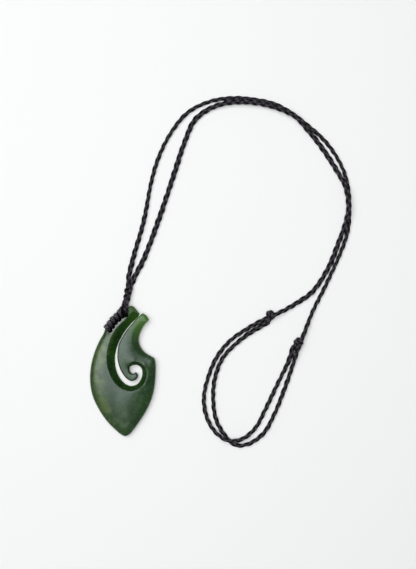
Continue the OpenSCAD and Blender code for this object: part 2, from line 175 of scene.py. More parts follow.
# Routes of the two cords from the fork to their knots, in metres
OUTER_ROUTE = np.array([
    (2.4, 38.8, 1), (2.4, 40, 1), (4.2, 48, 1), (9, 65, 1), (12.2, 81.6, 1), (15.4, 92.2, 1),
    (20.6, 102.5, 1), (27.8, 111.2, 1), (37, 115.9, 1), (46.8, 117.5, 1), (56.8, 116.9, 1),
    (66, 114.7, 1), (73.6, 110.3, 1), (80, 105.4, 1), (86.2, 99.8, 1), (91.4, 93.1, 1),
    (95.3, 85.4, 1), (97.2, 77, 1), (97.6, 68.6, 1), (96.8, 60.2, 1), (93.9, 51.4, 1),
    (90.3, 43.2, 1), (86, 34.2, 1), (81.8, 25.9, 1.3), (77.7, 15.7, 2.4), (75.3, 9.5, 2.4),
    (72.4, 0.4, 1.1), (69, -9.2, 1), (65.2, -18.6, 1), (60.5, -26.9, 1), (54, -31.5, 1),
    (48.2, -31.9, 1), (43.9, -27.8, 1), (40.2, -21.4, 1), (38.8, -12, 1), (39.6, -3, 1),
    (43.3, 6, 1), (52.6, 14.9, 1), (61.8, 20.6, 1)]) * MM
INNER_ROUTE = np.array([
    (4.5, 38.8, 1), (4.5, 39.3, 1), (9, 48.4, 1), (15.3, 65, 1), (21.7, 84, 1), (26.1, 97.4, 1),
    (30.6, 107.6, 1), (36, 112.2, 1.2), (43.4, 115, 2.1), (52, 115.7, 2.6), (62, 114.3, 2.7),
    (73.8, 109.6, 3.1), (79.5, 103.6, 2.5), (84.9, 97.1, 1), (89.1, 91, 1), (92.7, 85, 1.9),
    (95.8, 78.8, 3), (97, 70, 3.1), (95.6, 63.2, 2.7), (92.9, 55.4, 1.1), (88.5, 44.5, 1),
    (81.5, 34, 1), (74.8, 29.2, 1), (69.8, 26.3, 1.6), (66.6, 24.8, 2.4), (60.8, 22.2, 2.4),
    (54.2, 18.6, 1.6), (46.5, 13.3, 1), (40.8, 6.6, 1), (36.9, -2, 1), (34.8, -12, 1),
    (36.3, -20.6, 1.2), (40.2, -26.7, 2.4), (45.6, -29.9, 3.2), (51.4, -29.2, 2.2), (57, -24.6, 1),
    (61.1, -17, 1), (66.6, -5.5, 1), (71.5, 4.6, 1), (73.4, 10, 1)]) * MM

# Each knot sits on the other cord between this point of its route and the next
LOWER_KNOT_AT = 24
UPPER_KNOT_AT = 24

# The camera looks straight down on this place, and this much of the table fills the picture's height
VIEW_CENTRE = (36.6 * MM, 37.2 * MM)
VIEW_HEIGHT = 244.7 * MM
VIEW_LEVEL = 2 * MM
LENS = 85
SENSOR = 36

# Brightness of the room where it lights things, and where it is seen in a polished surface
ROOM_LIGHT = 0.12
ROOM_SEEN = 0.17
ROOM_COLOUR = (0.985, 0.99, 1.0, 1)

# The softbox and the lamp overhead light things and aren't seen in them. The gleam is the softbox as
# it is seen in the stone. It hangs a little lower, since two lamps in one place hide each other.
SOFTBOX_AT = (-0.38, 0.30, 1.0)
SOFTBOX_SIZE = 0.88
SOFTBOX_WATTS = 7.8
SOFTBOX_COLOUR = (1.0, 1.0, 1.0)
OVERHEAD_AT = (0.02, 0.02, 1.0)
OVERHEAD_SIZE = 0.36
OVERHEAD_WATTS = 4.95
OVERHEAD_COLOUR = (0.99, 1.0, 1.0)
GLEAM_AT = (-0.38, 0.30, 0.99)
GLEAM_COLOUR = (0.93, 1.0, 1.06)


class Value:
    """An output of a node tree. Python's operators on it add the Math nodes."""

    def __init__(self, tree, socket):
        self.tree = tree
        self.socket = socket

    def __add__(self, other):
        return self.tree.math("ADD", self, other)

    def __radd__(self, other):
        return self.tree.math("ADD", other, self)

    def __sub__(self, other):
        return self.tree.math("SUBTRACT", self, other)

    def __rsub__(self, other):
        return self.tree.math("SUBTRACT", other, self)

    def __mul__(self, other):
        return self.tree.math("MULTIPLY", self, other)

    def __rmul__(self, other):
        return self.tree.math("MULTIPLY", other, self)

    def __truediv__(self, other):
        return self.tree.math("DIVIDE", self, other)

    def __rtruediv__(self, other):
        return self.tree.math("DIVIDE", other, self)

    def __pow__(self, other):
        return self.tree.math("POWER", self, other)


class Tree:
    """A node tree of a material, of geometry or of the world, filled from Python expressions."""

    def __init__(self, tree):
        self.tree = tree

    def node(self, kind, settings=None, inputs=None, output=0):
        made = self.tree.nodes.new(kind)
        for name, value in (settings or {}).items():
            setattr(made, name, value)
        for name, value in (inputs or {}).items():
            self.feed(made.inputs[name], value)
        return Value(self, made.outputs[output])

    def feed(self, socket, value):
        if isinstance(value, Value):
            self.tree.links.new(value.socket, socket)
        else:
            socket.default_value = value

    def outputs(self, value, *names):
        return [Value(self, value.socket.node.outputs[name]) for name in names]

    def math(self, operation, *values):
        return self.node("ShaderNodeMath", {"operation": operation}, dict(enumerate(values)))

    def cos(self, angle):
        return self.math("COSINE", angle)

    def sin(self, angle):
        return self.math("SINE", angle)

    def scaled(self, vector, factor):
        return self.node("ShaderNodeVectorMath", {"operation": "SCALE"},
                         {"Vector": vector, "Scale": factor})

    def sum(self, a, b):
        return self.node("ShaderNodeVectorMath", {"operation": "ADD"}, {0: a, 1: b})

    def mix(self, factor, a, b):
        """A colour between a and b."""
        return self.node("ShaderNodeMix", {"data_type": "RGBA"}, {0: factor, 6: a, 7: b}, 2)

    def noise(self, vector, scale, detail=2.0, roughness=0.5):
        return self.node("ShaderNodeTexNoise", None, {
            "Vector": vector, "Scale": scale, "Detail": detail, "Roughness": roughness})

    def stretch(self, value, low, high):
        """0 below low, 1 above high, and straight between them."""
        return self.node("ShaderNodeMapRange", None,
                         {"Value": value, "From Min": low, "From Max": high})


def material(name, **fixed):
    """A new material with its tree and its shader, whose constants are set on the shader itself."""
    made = bpy.data.materials.new(name)
    made.use_nodes = True
    shader = made.node_tree.nodes["Principled BSDF"]
    for key, value in fixed.items():
        shader.inputs[key.replace("_", " ")].default_value = value
    return made, Tree(made.node_tree), shader


def greenstone():
    """Polished nephrite: deep green and cloudy, paler at its left side, with a painted glow of light
    where the stone is thin and near its upper ends.
    """
    made, tree, shader = material("greenstone", IOR=1.61, Subsurface_Weight=0.3,
                                  Subsurface_Radius=(0.5, 1.0, 0.4), Subsurface_Scale=1.2 * MM)
    place = tree.node("ShaderNodeTexCoord", None, None, "Object")

    # Clouds, flecks and patches, all bent by the same slow drift
    drift = tree.node("ShaderNodeTexNoise", None,
                      {"Vector": place, "Scale": 130.0, "Detail": 2.0}, "Color")
    bent = tree.sum(place, tree.scaled(drift, 5 * MM))
    clouds = tree.stretch(tree.noise(bent, 170.0, 4.0, 0.55), 0.35, 0.68)
    flecks = tree.stretch(tree.noise(bent, 800.0, 3.0, 0.6), 0.50, 0.80)
    patches = tree.stretch(tree.noise(bent, 330.0, 3.0), 0.38, 0.62)
    x, y, z = tree.outputs(tree.node("ShaderNodeSeparateXYZ", None, {0: place}), "X", "Y", "Z")

    def distance(place):
        return ((x - place[0]) ** 2 + (y - place[1]) ** 2) ** 0.5

    # The paler band, broken into patches, a painted glow of the thin stone at the foot of the bevels,
    # and the two ends, painted with a glow and polished less
    from_band = distance(RIND_CENTRE) + clouds * RIND_WANDER - RIND_RADIUS
    rind = tree.stretch(tree.math("ABSOLUTE", from_band), RIND_HALF_W, 0.5 * MM)
    rind = rind * tree.stretch(y, *RIND_TOP_FADES) * tree.stretch(y, *RIND_FOOT_FADES)
    rind = rind * (0.35 + 0.65 * patches)
    thin_glow_mask = tree.stretch(z, HOOK_T * 0.75, 0.0)
    point_glow_and_wear = tree.stretch(distance(POINT_TIP) + clouds * 1.5 * MM, POINT_REACH, 1 * MM)
    shank_glow_and_wear = tree.stretch(distance(SHANK_TIP), SHANK_REACH, 2 * MM)
    near_foot = tree.stretch(distance(FOOT_STREAKS), FOOT_REACH, 1 * MM)

    colour = tree.mix(clouds, STONE_DARK, STONE_LIGHT)
    colour = tree.mix(flecks * 0.45, colour, STONE_FLECK)
    colour = tree.mix(near_foot * (0.15 + 0.4 * patches), colour, STONE_STREAK)
    # Painted glow of light shining through the stone near the point and the shank's end
    colour = tree.mix(point_glow_and_wear * 0.8, colour, STONE_POINT_GLOW)
    colour = tree.mix(shank_glow_and_wear * 0.7, colour, STONE_SHANK_GLOW)
    # Painted glow of light through the stone where it is thin
    glow = tree.mix(point_glow_and_wear, STONE_THIN_GLOW, STONE_THIN_POINT_GLOW)
    colour = tree.mix(thin_glow_mask * (0.3 + clouds * 0.6), colour, glow)
    colour = tree.mix(rind * 0.85, colour, STONE_RIND)
    tree.feed(shader.inputs["Base Color"], colour)

    # Duller at the two ends, and a little wavy all over
    worn = shank_glow_and_wear * 0.24 + point_glow_and_wear * 0.12
    tree.feed(shader.inputs["Roughness"], 0.20 + 0.14 * tree.noise(place, 500.0, 3.0) + worn)
    waves = tree.noise(place, 160.0, 1.0) + tree.noise(place, 900.0, 2.0) * 0.06
    bump = tree.node("ShaderNodeBump", None, {"Strength": 0.5, "Distance": 0.12 * MM, "Height": waves})
    tree.feed(shader.inputs["Normal"], bump)
    return made


def fibres(name, threads, lay, dark, light):
    """Waxed thread: each strand is made of finer ones, and painted shade darkens the grooves between
    strands and the parts given as shaded.
    """
    made, tree, shader = material(name, Specular_IOR_Level=0.02)
    along = tree.node("ShaderNodeAttribute", {"attribute_name": "along"}, None, "Fac")
    crest = tree.node("ShaderNodeAttribute", {"attribute_name": "crest"}, None, "Fac")
    ring = tree.node("ShaderNodeAttribute", {"attribute_name": "round"}, None, "Vector")
    x, y = tree.outputs(tree.node("ShaderNodeSeparateXYZ", None, {0: ring}), "X", "Y")

    # Threads that turn round the strand, with fuzz and lighter patches over them
    angle = tree.math("ARCTAN2", y, x)
    thread = tree.sin(angle * threads + along * (2 * math.pi / lay)) * 0.5 + 0.5
    place = tree.node("ShaderNodeTexCoord", None, None, "Object")
    fuzz = tree.noise(place, 9000.0, 3.0, 0.6)
    patches = tree.noise(place, 700.0, 2.0)
    # crest carries painted light and shade: darker in the grooves between strands and where the route
    # is given as shaded
    shade = tree.stretch(thread * 0.32 + fuzz * 0.30 + patches * 0.38, 0.28, 0.72) * crest ** 2.5
    tree.feed(shader.inputs["Base Color"], tree.mix(shade, (*dark, 1), (*light, 1)))
    tree.feed(shader.inputs["Roughness"], 0.35 + 0.25 * patches)
    bump = tree.node("ShaderNodeBump", None, {
        "Strength": 0.8, "Distance": 0.05 * MM, "Height": thread + fuzz * 0.6})
    tree.feed(shader.inputs["Normal"], bump)
    return made


def table_top():
    """A plain pale surface."""
    made, _, _ = material("table_top", Base_Color=TABLE_COLOUR, Roughness=0.8, Specular_IOR_Level=0.2)
    return made


def unit(v):
    return v / np.linalg.norm(v)


def left_of(v):
    return np.array([-v[1], v[0]])


def spline(rows, i, t):
    """A point of the smooth curve through rows, at share t of the span after row i."""

    def slope(j):
        a, b = max(0, j - 1), min(len(rows) - 1, j + 1)
        before = np.linalg.norm((rows[j] - rows[a])[:2])
        after = np.linalg.norm((rows[b] - rows[j])[:2])
        if j == a:
            return (rows[b] - rows[j]) / after
        if j == b:
            return (rows[j] - rows[a]) / before
        rise = (rows[j] - rows[a]) * after / before + (rows[b] - rows[j]) * before / after
        return rise / (before + after)

    reach = np.linalg.norm((rows[i + 1] - rows[i])[:2])
    return (rows[i] * (2 * t**3 - 3 * t**2 + 1) + slope(i) * reach * (t**3 - 2 * t**2 + t)
            + rows[i + 1] * (3 * t**2 - 2 * t**3) + slope(i + 1) * reach * (t**3 - t**2))


def placed(rows):
    """Rows of the outline in metres: place, then the way to the crest."""
    return [(r[0] * HOOK_W, r[1] * HOOK_L, *r[2:]) for r in rows]


def run(rows, width, drop, rounded):
    """A stretch of the edge: place, way to the crest, drop, and whether its rim is rounded."""
    full = []
    for i, r in enumerate(rows):
        if len(r) == 4:
            way = np.array(r[2:]) * width
        else:
            after, before = rows[min(i + 1, len(rows) - 1)], rows[max(i - 1, 0)]
            way = r[2] * left_of(unit(np.array(after[:2]) - np.array(before[:2]))) * width
        full.append(np.array([r[0], r[1], *way]))
    points = [spline(full, i, k / SPAN_STEPS) for i in range(len(full) - 1) for k in range(SPAN_STEPS)]
    return [np.array([*p, drop * min(1, np.linalg.norm(p[2:4]) / width), rounded]) for p in points]


bar_middle = [np.array([x * HOOK_W, y * HOOK_L]) for x, y in BAR_MIDDLE]
bar_dirs = [unit(bar_middle[1] - bar_middle[0]), unit(bar_middle[2] - bar_middle[1])]
bar_normals = [-left_of(d) for d in (bar_dirs[0], unit(bar_dirs[0] + bar_dirs[1]), bar_dirs[1])]
first_length = np.linalg.norm(bar_middle[1] - bar_middle[0])
bar_length = first_length + np.linalg.norm(bar_middle[2] - bar_middle[1])


def beside_bar(distance):
    return [m + distance * n for m, n in zip(bar_middle, bar_normals)]


def slot_wall(side, share):
    """A wall of the slot's narrow stretch, half its width to one side of its middle."""
    middle = placed(SLOT_MIDDLE)
    last = len(middle) - 1
    wall = []
    for i, m in enumerate(middle):
        along = np.array(middle[min(i + 1, last)][:2]) - np.array(middle[max(i - 1, 0)][:2])
        p = np.array(m[:2]) + side * SLOT_W / 2 * left_of(unit(along))
        wall.append((*p, m[2] if share is None else share))
    return wall


def hook_edge():
    """The whole edge of the stone as one array: x, y, way x, way y, drop, rounded."""
    inner, outer = slot_wall(-1, SLOT_LIP), slot_wall(1, None)
    mouth_of_point = (*placed(POINT_END)[-1][:2], *POINT_MOUTH)
    mouth_of_shank = (*placed(SHANK_END)[0][:2], *SHANK_MOUTH)
    slot = [mouth_of_point, *inner[::-1], *placed(CURL), *placed(BEND), *outer[:-1],
            (*outer[-1][:2], *SHANK_MOUTH_BELOW), mouth_of_shank]
    side = beside_bar(-BAR_W / 2)
    bar_side = [side[2], (side[1] + side[2]) / 2, side[1], (side[0] + side[1]) / 2, side[0]]
    back = [*placed(SHANK_END), *[(*p, BAR_RIM) for p in bar_side],
            *placed(OUTER_SIDE), *placed(FOOT_TO_BARB)]
    return np.array([
        *run(placed(BARB_TO_POINT), RIM_W, RIM_DROP, 1), *run(placed(POINT_END), RIM_W, RIM_DROP, 1),
        *run(slot, BEVEL_W, BEVEL_DROP, 0), *run(back, RIM_W, RIM_DROP, 1)])


def distance_to(points, line, kept):
    """How far each point is from the nearest kept stretch of a closed line."""
    start, end = line[kept], np.roll(line, -1, axis=0)[kept]
    span = end - start
    share = np.clip(((points[:, None] - start) * span).sum(2) / (span ** 2).sum(1), 0, 1)
    return np.linalg.norm(points[:, None] - start - share[..., None] * span, axis=2).min(1)


def rim_profile(k):
    """Shares of the way in and of the rise at step k: of a rounded rim, then of a straight bevel."""
    t = k / RIM_STEPS
    a = t * RIM_TURN
    rounded = ((1 - math.cos(a)) / (1 - math.cos(RIM_TURN)), math.sin(a) / math.sin(RIM_TURN))
    straight, last = RIM_STEPS - SOFT_STEPS, 1 - CREST_SOFT
    if k <= straight:
        return rounded, (last * k / straight, last * k / straight)
    u = (k - straight) / SOFT_STEPS
    into = last * (1 - u) ** 2 + 2 * u * (1 - u) + (1 + CREST_SOFT) * u ** 2
    return rounded, (into, last * (1 - u) ** 2 + 2 * u * (1 - u) + u ** 2)


def hook_surface():
    """Rings from the back, up the wall and over the rim, then points and triangles of the face."""
    edge = hook_edge()
    place, way, drop = edge[:, :2], edge[:, 2:4], edge[:, 4]
    is_round = edge[:, 5] > 0.5
    falls_away = is_round | (np.linalg.norm(way, axis=1) < LIP_SHARE * BEVEL_W)
    share = is_round[:, None] * 1.0
    crest = place + way
    rim_line = falls_away & np.roll(falls_away, -1)

    def face_height(points):
        near = distance_to(points, crest, rim_line)
        return HOOK_T - CROWN * np.maximum(0, 1 - near / CROWN_REACH) ** 2

    reach = np.linalg.norm(way, axis=1)
    rounding = np.minimum(BACK_ROUND, reach / 2)
    inward = way / reach[:, None] * rounding[:, None]
    rings = []
    for a in np.radians([0, 30, 60, 90]):
        rise = rounding * (1 - math.cos(a))
        rings.append(np.column_stack([place + inward * (1 - math.sin(a)), rise]))
    top = face_height(crest)
    for k in range(RIM_STEPS + 1):
        rim, bevel = rim_profile(k)
        into = rim[0] * share + bevel[0] * (1 - share)
        rise = rim[1] * share[:, 0] + bevel[1] * (1 - share[:, 0])
        rings.append(np.column_stack([place + way * into, top - drop * (1 - rise)]))

    border = rings[-1][:, :2]
    low, high = border.min(0), border.max(0)
    across = np.arange(low[0], high[0], FACE_STEP)
    along = np.arange(low[1], high[1], FACE_STEP)
    inside = np.array([(x + (j % 2) * FACE_STEP / 2, y) for j, y in enumerate(along) for x in across])
    inside = inside[distance_to(inside, border, np.ones(len(border), bool)) > 0.5 * FACE_STEP]
    given = [Vector(p) / MM for p in np.vstack([border, inside])]
    found, _, faces, origins, _, _ = delaunay_2d_cdt(given, [], [list(range(len(border)))], 1, 1e-5)
    found = np.array([tuple(p) for p in found]) * MM
    heights = face_height(found)
    is_inside = np.array([not o or min(o) >= len(border) for o in origins])
    sides = np.array([(t[i], t[i - 1]) for t in faces for i in range(3)])
    sides = np.vstack([sides, sides[:, ::-1]])
    for _ in range(FACE_EASING):
        total = np.bincount(sides[:, 0], heights[sides[:, 1]], len(heights))
        count = np.bincount(sides[:, 0], minlength=len(heights))
        heights = np.where(is_inside, total / count, heights)
    return rings, found, faces, [min(o) if o else len(given) for o in origins], heights


def skin(name, rings, face=None):
    """A closed mesh over rings of equal length, the lowest first, with flat ends or a given top."""
    mesh = bpy.data.meshes.new(name)
    n = len(rings[0])
    points = [tuple(p) for r in rings for p in r]
    faces = [list(range(n))[::-1]]
    for k in range(len(rings) - 1):
        for i in range(n):
            j = (i + 1) % n
            faces.append([k * n + i, k * n + j, (k + 1) * n + j, (k + 1) * n + i])
    last = (len(rings) - 1) * n
    if face:
        places, triangles, origins, heights = face
        numbers = []
        for place, origin, height in zip(places, origins, heights):
            if origin < n:
                numbers.append(last + origin)
            else:
                numbers.append(len(points))
                points.append((*place, height))
        faces += [[numbers[i] for i in triangle] for triangle in triangles]
    else:
        faces.append([last + i for i in range(n)])
    mesh.from_pydata(points, [], faces)
    mesh.update()
    made = bpy.data.objects.new(name, mesh)
    bpy.context.scene.collection.objects.link(made)
    return made


def prism(name, outline, low, high):
    outline = np.array(outline)
    return skin(name, [np.column_stack([outline, np.full(len(outline), z)]) for z in (low, high)])


def finished(obj, name):
    """The object with its modifiers worked into its mesh, under a new name."""
    bpy.context.view_layer.update()
    graph = bpy.context.evaluated_depsgraph_get()
    mesh = bpy.data.meshes.new_from_object(obj.evaluated_get(graph))
    made = bpy.data.objects.new(name, mesh)
    mesh.name = name
    bpy.context.scene.collection.objects.link(made)
    bpy.data.objects.remove(obj)
    return made


BACK_SEAT = THREAD_D + THREAD_CLEAR
BAR_TOP = HOOK_T - FRONT_SEAT
BAR_MID_Z = (BAR_TOP + BACK_SEAT) / 2
BAR_HALF_H = (BAR_TOP - BACK_SEAT) / 2
TURN_PITCH = THREAD_D + TURN_GAP
LEG_D = 1.3 * MM

# The slit is longer than the bar, for the neck's leg
leg_past = THREAD_D / 2 + LEG_D / 2 + THREAD_CLEAR - TURN_PITCH / 2
slit_line = beside_bar(BAR_W / 2 + SLIT_W / 2)
slit_line[2] = slit_line[2] + leg_past * bar_dirs[1]


def slit_outline():
    """The slit beside the bar, with round ends."""
    r = SLIT_W / 2
    across = [left_of(bar_dirs[0]), left_of(unit(bar_dirs[0] + bar_dirs[1])), left_of(bar_dirs[1])]
    points = []
    for way, order in ((1, (0, 1, 2)), (-1, (2, 1, 0))):
        for i in order:
            points.append(slit_line[i] - way * r * across[i])
        end = order[-1]
        forward = bar_dirs[min(end, 1)]
        for a in np.radians(np.arange(-75, 90, 15)):
            out = math.cos(a) * forward + math.sin(a) * across[end]
            points.append(slit_line[end] + way * r * out)
    return points


def seat_outline():
    """What is cut from the front and back of the bar for the thread, and past its outer side."""
    inner, outer = beside_bar(BAR_W / 2 + SLIT_W / 2), beside_bar(-BAR_W / 2 - RIM_W)
    past = THREAD_D / 2 + THREAD_CLEAR
    for line in (inner, outer):
        line[0] = line[0] - past * bar_dirs[0]
        line[2] = line[2] + past * bar_dirs[1]
    return [*inner, *outer[::-1]]


def make_hook(stone):
    """The carved stone, with the slit and the lashing's seats cut out of it."""
    rings, *face = hook_surface()
    body = skin("hook_blank", rings, face)
    over = 1 * MM
    cutters = [
        prism("slit", slit_outline(), -over, HOOK_T + over),
        prism("seat_back", seat_outline(), -over, BACK_SEAT),
        prism("seat_front", seat_outline(), BAR_TOP, HOOK_T + over)]
    for cutter in cutters:
        cut = body.modifiers.new(cutter.name, "BOOLEAN")
        cut.operation = "DIFFERENCE"
        cut.solver = "EXACT"
        cut.object = cutter
    cut_body = finished(body, "hook_cut")
    for cutter in cutters:
        bpy.data.objects.remove(cutter)
    for polygon in cut_body.data.polygons:
        polygon.use_smooth = True
    cut_body.data.set_sharp_from_angle(angle=SHARP_ANGLE)
    weighted = cut_body.modifiers.new("shading", "WEIGHTED_NORMAL")
    weighted.keep_sharp = True
    weighted.weight = 100
    made = finished(cut_body, "greenstone_hook")
    made.data.materials.clear()
    made.data.materials.append(stone)
    return made


def braid_tree():
    """Strands that wind along a route. At Weave 1 they twist into a rope and at 2 they are plaited."""
    group = bpy.data.node_groups.new("braid", "GeometryNodeTree")
    for name, kind in (("Route", "Geometry"), ("Strands", "Int"), ("Weave", "Int"), ("Lay", "Float"),
                       ("Groove", "Float"), ("Sides", "Int"), ("Material", "Material")):
        group.interface.new_socket(name=name, in_out="INPUT", socket_type="NodeSocket" + kind)
    group.interface.new_socket(name="Mesh", in_out="OUTPUT", socket_type="NodeSocketGeometry")
    tree = Tree(group)
    given = tree.node("NodeGroupInput")
    route, strands, weave, lay, groove_shade, sides, finish = tree.outputs(
        given, "Route", "Strands", "Weave", "Lay", "Groove", "Sides", "Material")

    def stored(name, kind):
        return tree.node("GeometryNodeInputNamedAttribute", {"data_type": kind}, {"Name": name})

    line = tree.node("GeometryNodeMeshToCurve", None, {"Mesh": route})
    copies = tree.node("GeometryNodeDuplicateElements", {"domain": "SPLINE"},
                       {"Geometry": line, "Amount": strands})
    index = tree.outputs(copies, "Duplicate Index")[0]
    along = stored("along", "FLOAT")
    radius = stored("radius", "FLOAT")
    angle = (along / lay + index / strands) * (2 * math.pi)
    offset = tree.sum(tree.scaled(stored("across", "FLOAT_VECTOR"), tree.cos(angle)),
                      tree.scaled(stored("up", "FLOAT_VECTOR"), tree.sin(angle * weave)))
    # crest is painted light and shade: the given light, darker where a strand dives between the others
    wave = tree.sin(angle * weave)
    crest = stored("light", "FLOAT") * (1 - groove_shade * (1 - tree.math("ABSOLUTE", wave)))
    marked = tree.node("GeometryNodeStoreNamedAttribute",
                       {"data_type": "FLOAT", "domain": "POINT"},
                       {"Geometry": copies, "Name": "crest", "Value": crest})
    wound = tree.node("GeometryNodeSetPosition", None, {"Geometry": marked, "Offset": offset})

    circle = tree.node("GeometryNodeCurvePrimitiveCircle", None, {"Resolution": sides, "Radius": 1.0})
    turn = tree.node("GeometryNodeSplineParameter", None, None, "Factor") * (2 * math.pi)
    round_place = tree.node("ShaderNodeCombineXYZ", None, {0: tree.cos(turn), 1: tree.sin(turn)})
    profile = tree.node("GeometryNodeStoreNamedAttribute",
                        {"data_type": "FLOAT_VECTOR", "domain": "POINT"},
                        {"Geometry": circle, "Name": "round", "Value": round_place})
    body = tree.node("GeometryNodeCurveToMesh", None, {
        "Curve": wound, "Profile Curve": profile, "Scale": radius, "Fill Caps": True})
    soft = tree.node("GeometryNodeSetShadeSmooth", None, {"Geometry": body, "Shade Smooth": True})
    real = tree.node("GeometryNodeRealizeInstances", None, {"Geometry": soft})
    dressed = tree.node("GeometryNodeSetMaterial", None, {"Geometry": real, "Material": finish})
    end = group.nodes.new("NodeGroupOutput")
    tree.feed(end.inputs[0], dressed)
    return group


BRAID = braid_tree()


def lengths(points):
    """Distance along the points from the first of them to each."""
    return np.concatenate([[0], np.cumsum(np.linalg.norm(np.diff(points[:, :3], axis=0), axis=1))])


def resampled(rows, step):
    """Rows, whose first three columns are a place, at equal steps along them."""
    measured = lengths(rows)
    wanted = np.linspace(0, measured[-1], max(2, round(measured[-1] / step)) + 1)
    return np.column_stack([np.interp(wanted, measured, column) for column in rows.T])


def smooth_rows(rows, step):
    """A smooth curve through rows, whose first three columns are a place, cut into equal steps."""
    rows = np.array(rows, float)
    rows = np.vstack([2 * rows[0] - rows[1], rows, 2 * rows[-1] - rows[-2]])
    fine = []
    for a, b, c, d in zip(rows[:-3], rows[1:-2], rows[2:-1], rows[3:]):
        t0 = 0
        t1 = t0 + np.linalg.norm((b - a)[:3]) ** 0.5
        t2 = t1 + np.linalg.norm((c - b)[:3]) ** 0.5
        t3 = t2 + np.linalg.norm((d - c)[:3]) ** 0.5
        for t in np.linspace(t1, t2, CURVE_STEPS, endpoint=False):
            ab = a + (b - a) * (t - t0) / (t1 - t0)
            bc = b + (c - b) * (t - t1) / (t2 - t1)
            cd = c + (d - c) * (t - t2) / (t3 - t2)
            abc = ab + (bc - ab) * (t - t0) / (t2 - t0)
            bcd = bc + (cd - bc) * (t - t1) / (t3 - t1)
            fine.append(abc + (bcd - abc) * (t - t1) / (t2 - t1))
    return resampled(np.array(fine + [rows[-2]]), step)


def tangents(points):
    forward = np.gradient(points[:, :3], axis=0)
    return forward / np.linalg.norm(forward, axis=1)[:, None]


def frames(points, wanted):
    """Two unit vectors across the line at each point, the first as near as can be to wanted."""
    along = tangents(points)
    wanted = np.broadcast_to(wanted, along.shape)
    side = wanted - (wanted * along).sum(1)[:, None] * along
    side /= np.linalg.norm(side, axis=1)[:, None]
    return side, np.cross(side, along)


def level(points):
    """At each point, a level unit vector across the line."""
    side = np.cross(tangents(points), UP)
    return side / np.linalg.norm(side, axis=1)[:, None]


def braided(name, points, wanted, half_w, half_h, strand_r, finish, lay, strands=3, weave=2, sides=10,
            start=0.0, groove_shade=0.9, light=1.0):
    """A mesh of strands along points. The halves are the reach of a strand's middle, across and up."""
    side, up = frames(points, wanted)
    n = len(points)
    mesh = bpy.data.meshes.new(name + "_route")
    mesh.from_pydata([tuple(p) for p in points[:, :3]], [(i, i + 1) for i in range(n - 1)], [])
    # The light column is painted light and shade, which the finish works into the strands' colour
    columns = {
        "across": ("FLOAT_VECTOR", side * np.broadcast_to(half_w, n)[:, None]),
        "up": ("FLOAT_VECTOR", up * np.broadcast_to(half_h, n)[:, None]),
        "radius": ("FLOAT", np.broadcast_to(strand_r, n)),
        "light": ("FLOAT", np.broadcast_to(light, n)),
        "along": ("FLOAT", lengths(points) + start)}
    for key, (kind, values) in columns.items():
        attribute = mesh.attributes.new(key, kind, "POINT")
        attribute.data.foreach_set("vector" if kind == "FLOAT_VECTOR" else "value",
                                   np.ascontiguousarray(values, np.float32).ravel())
    source = bpy.data.objects.new(name + "_route", mesh)
    bpy.context.scene.collection.objects.link(source)
    modifier = source.modifiers.new("braid", "NODES")
    modifier.node_group = BRAID
    settings = {"Strands": strands, "Weave": weave, "Lay": lay, "Groove": groove_shade, "Sides": sides,
                "Material": finish}
    for item in BRAID.interface.items_tree:
        if item.in_out == "INPUT" and item.name in settings:
            modifier[item.identifier] = settings[item.name]
    return finished(source, name)


def joined(name, parts):
    """One object from several."""
    mesh = bmesh.new()
    for part in parts:
        mesh.from_mesh(part.data)
    made = bpy.data.meshes.new(name)
    mesh.to_mesh(made)
    mesh.free()
    made.materials.append(parts[0].data.materials[0])
    for part in parts:
        bpy.data.objects.remove(part)
    obj = bpy.data.objects.new(name, made)
    bpy.context.scene.collection.objects.link(obj)
    return obj


# The plait of a cord: how far its strands' middles reach to the sides and up, their radius and lay
STRAND_SIDE = 0.52 * MM
STRAND_RISE = 0.46 * MM
STRAND_R = 0.50 * MM
CORD_LAY = 11 * MM

# How long the steps are along a cord, along a thread, a knot or the neck, and along a leg. A smooth
# curve first gets this many steps from one row to the next.
CORD_STEP = 0.35 * MM
FINE_STEP = 0.25 * MM
LEG_STEP = 0.2 * MM
CURVE_STEPS = 24

# A cord's thickness as a share of its plain size, at these distances from the fork
SWELLS_AT = (0, 8 * MM, 40 * MM, 205 * MM, 240 * MM)
START_SWELL = 1.08
OUTER_SWELLS = (START_SWELL, 1.14, 0.90, 0.86, 0.95)
INNER_SWELLS = (START_SWELL, 1.2, 1.16, 1.12, 0.93)

# What is added to that share at the knot, and how far before it the cord begins to grow
OUTER_END_SWELL = 0.2
INNER_END_SWELL = 0.32
END_REACH = 13 * MM

# A cord is a little uneven: two waves of its thickness, each a share of it and a length
UNEVEN = ((0.05, 5.3 * MM), (0.04, 23 * MM))


def cord_path(route):
    """The middle of a cord, which lies on the table or above it."""
    path = smooth_rows(route, CORD_STEP)
    path[:, 2] = np.maximum(path[:, 2], CORD_D / 2)
    return path


def plait_sizes(swell):
    """Reach to the side, reach up and radius of a cord's strands, whose plait stays above the table."""
    radius = STRAND_R * swell
    return STRAND_SIDE * swell, np.minimum(STRAND_RISE * swell, CORD_D / 2 - radius), radius


def make_cord(name, route, swells, end_swell, finish):
    """A plaited cord along a route, and the path of its middle."""
    path = cord_path(route)
    at = lengths(path)
    swell = np.interp(at, SWELLS_AT, swells)
    for share, length in UNEVEN:
        swell = swell * (1 + share * np.sin(2 * math.pi * at / length))
    swell += end_swell * np.maximum(0, 1 - (at[-1] - at) / END_REACH)
    return braided(name, path, level(path), *plait_sizes(swell), finish, CORD_LAY), path


def on_bar(s):
    """The place at this distance along the bar's middle."""
    if s < first_length:
        return bar_middle[0] + s * bar_dirs[0]
    return bar_middle[1] + (s - first_length) * bar_dirs[1]


def bar_dir(s):
    """The way of the bar there, which turns evenly from end to end."""
    share = min(1, max(0, s / bar_length))
    return unit((1 - share) * bar_dirs[0] + share * bar_dirs[1])


